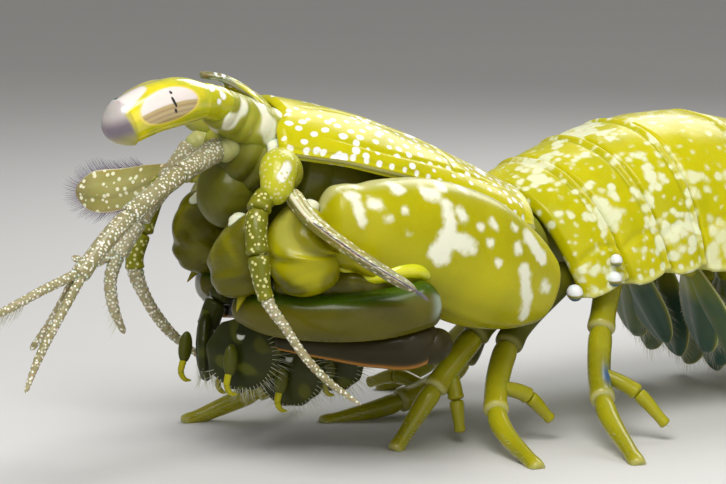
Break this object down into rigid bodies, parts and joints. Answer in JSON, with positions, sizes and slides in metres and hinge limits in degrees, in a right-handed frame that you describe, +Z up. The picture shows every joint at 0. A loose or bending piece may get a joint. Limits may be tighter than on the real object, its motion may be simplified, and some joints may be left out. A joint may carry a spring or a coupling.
{
  "type": "mantis shrimp",
  "caption": "Life-size still model of a smashing mantis shrimp with folded clubs, stalked eyes, feelers, walking legs, swimmerets and tail fan.",
  "frame": {"origin": "on the floor under the middle of the whole model's box", "axes": "-X is the way the head faces, -Y is the animal's left side, +Z is up"},
  "size_m": [0.0891, 0.027, 0.0214],
  "materials": {
    "shell": "glossy",
    "rostral": "glossy, part clear",
    "cornea": "wet gloss",
    "stalk": "satin",
    "feeler": "satin, part clear",
    "membrane": "satin",
    "arm": "glossy",
    "hand": "glossy",
    "mouth": "satin",
    "leg": "glossy",
    "swimmeret": "satin, part clear"
  },
  "bodies": {
    "root": {"abdomen_1": "shell", "abdomen_2": "shell", "abdomen_3": "shell", "abdomen_4": "shell", "abdomen_5": "shell", "abdomen_6": "shell", "antenna_left": "feeler", "antenna_right": "feeler", "antennal_scale_left": "feeler", "antennal_scale_right": "feeler", "antennule_left": "feeler", "antennule_right": "feeler", "carapace": "shell", "eye_left": "cornea", "eye_right": "cornea", "eyestalk_left": "stalk", "eyestalk_right": "stalk", "head": "membrane", "maxilliped_3_left": "mouth", "maxilliped_3_right": "mouth", "maxilliped_4_left": "mouth", "maxilliped_4_right": "mouth", "maxilliped_5_left": "mouth", "maxilliped_5_right": "mouth", "mouthparts": "mouth", "pleopod_1_left": "swimmeret", "pleopod_1_right": "swimmeret", "pleopod_2_left": "swimmeret", "pleopod_2_right": "swimmeret", "pleopod_3_left": "swimmeret", "pleopod_3_right": "swimmeret", "pleopod_4_left": "swimmeret", "pleopod_4_right": "swimmeret", "pleopod_5_left": "swimmeret", "pleopod_5_right": "swimmeret", "raptorial_carpus_left": "arm", "raptorial_carpus_right": "arm", "raptorial_dactyl_left": "hand", "raptorial_dactyl_right": "hand", "raptorial_ischium_left": "arm", "raptorial_ischium_right": "arm", "raptorial_merus_left": "arm", "raptorial_merus_right": "arm", "raptorial_propodus_left": "hand", "raptorial_propodus_right": "hand", "rostral_plate": "rostral", "telson": "shell", "thorax_6": "shell", "thorax_7": "shell", "thorax_8": "shell", "thorax_front": "membrane", "uropod_left": "swimmeret", "uropod_right": "swimmeret", "walking_leg_1_left": "leg", "walking_leg_1_right": "leg", "walking_leg_2_left": "leg", "walking_leg_2_right": "leg", "walking_leg_3_left": "leg", "walking_leg_3_right": "leg"}
  },
  "joints": []
}
